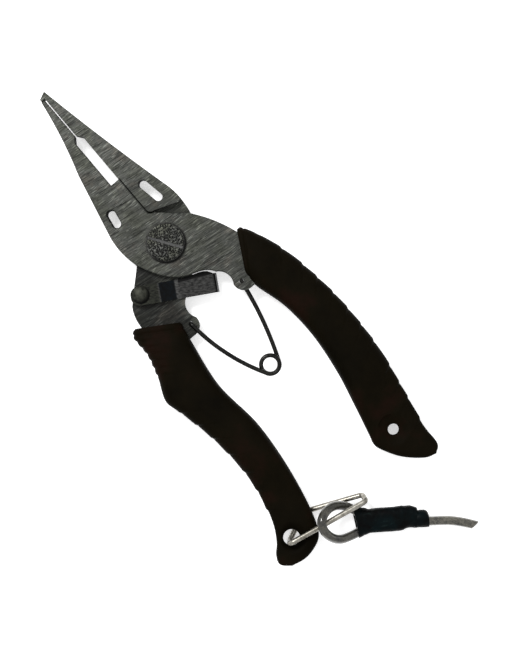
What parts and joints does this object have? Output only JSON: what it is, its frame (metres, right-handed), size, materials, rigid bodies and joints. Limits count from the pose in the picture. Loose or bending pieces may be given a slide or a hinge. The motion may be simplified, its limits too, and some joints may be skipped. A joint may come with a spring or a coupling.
{
  "type": "fishing pliers",
  "caption": "Long-nose fishing pliers with a slotted jaw, rubber grips, return spring, lock lever and a wire ring holding a crimped lanyard.",
  "frame": {"origin": "middle of the pliers' footprint on the surface they lie on, without the lanyard", "axes": "+X from the handles to the jaw tips, +Z along the pivot towards its slotted head, +Y towards the back lever's handle"},
  "size_m": [0.1996, 0.0708, 0.0146],
  "materials": {
    "lever_steel": "dark brushed, across the pliers",
    "grip_rubber": "matte black rubber, fine grain",
    "screw_steel": "dark, coarsely textured head",
    "lock_steel": "dark satin",
    "spring_steel": "dark oiled wire",
    "ring_wire": "bright wire",
    "cord_braid": "grey braid",
    "ferrule_metal": "pressed",
    "sleeve_plastic": "shrunk dark green-black tube, satin"
  },
  "bodies": {
    "back": {"back_lever": "lever_steel", "back_grip": "grip_rubber", "pivot_screw": "screw_steel", "pivot_nut": "screw_steel", "head_washer": "screw_steel", "pivot_shim": "screw_steel", "lock_rivet": "lock_steel", "lock_spacer": "lock_steel"},
    "front": {"front_lever": "lever_steel", "front_grip": "grip_rubber"},
    "lock": {"lock_lever": "lock_steel"},
    "spring_back": {"return_spring_back": "spring_steel"},
    "spring_front": {"return_spring_front": "spring_steel"},
    "ring": {"lanyard_ring": "ring_wire", "lanyard_cord": "cord_braid", "crimp_ferrule": "ferrule_metal", "shrink_sleeve": "sleeve_plastic", "strand_tube": "sleeve_plastic"}
  },
  "joints": [
    {"name": "handles", "type": "hinge", "parent": "back", "child": "front", "pos_m": [0.02311, -0.00367, 0.006], "axis": [0, 0, 1], "range_deg": [0, 24], "stiffness_Nm_per_rad": 0.6, "springref_deg": 34.38},
    {"name": "lock_swing", "type": "hinge", "parent": "back", "child": "lock", "pos_m": [0.01531, 0.01343, 0.006], "axis": [0, 0, 1], "range_deg": [-20, 0]},
    {"name": "spring_back_turn", "type": "hinge", "parent": "back", "child": "spring_back", "pos_m": [-0.00229, 0.00713, 0.006], "axis": [0, 0, 1], "range_deg": [0, 24]},
    {"name": "spring_front_turn", "type": "hinge", "parent": "front", "child": "spring_front", "pos_m": [-0.00229, -0.01447, 0.006], "axis": [0, 0, 1], "range_deg": [-24, 0]},
    {"name": "ring_swing", "type": "hinge", "parent": "back", "child": "ring", "pos_m": [-0.07739, 0.02838, 0.006], "axis": [0, 0, 1], "range_deg": [-30, 8]}
  ],
  "couplings": [
    {"joint": "spring_back_turn", "follows": "handles", "ratio": 0.96},
    {"joint": "spring_front_turn", "follows": "handles", "ratio": -0.98}
  ]
}
